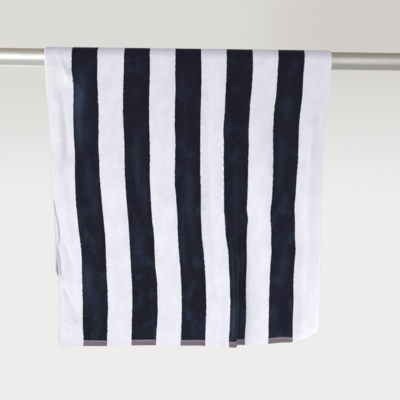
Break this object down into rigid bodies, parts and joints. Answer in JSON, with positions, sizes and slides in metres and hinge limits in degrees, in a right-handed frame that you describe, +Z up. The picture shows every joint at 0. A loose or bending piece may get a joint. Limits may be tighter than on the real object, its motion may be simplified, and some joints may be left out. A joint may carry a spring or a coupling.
{
  "type": "bath towel on rail",
  "caption": "Striped white and navy terry bath towel hung over a round metal rail, its shorter back half behind.",
  "frame": {"origin": "middle of the rail's centre line, which is also the middle of the towel's width", "axes": "+X along the rail to the right as seen from the front, +Y from the towel's long front half towards its shorter back half, +Z up"},
  "size_m": [1.2, 0.0757, 0.7581],
  "materials": {
    "towel_cloth": "velour terry, lavender white with navy stripes, grey-mauve flat-woven hems across the navy",
    "rail_metal": "satin"
  },
  "bodies": {
    "root": {"rail": "rail_metal", "towel": "towel_cloth"}
  },
  "joints": []
}
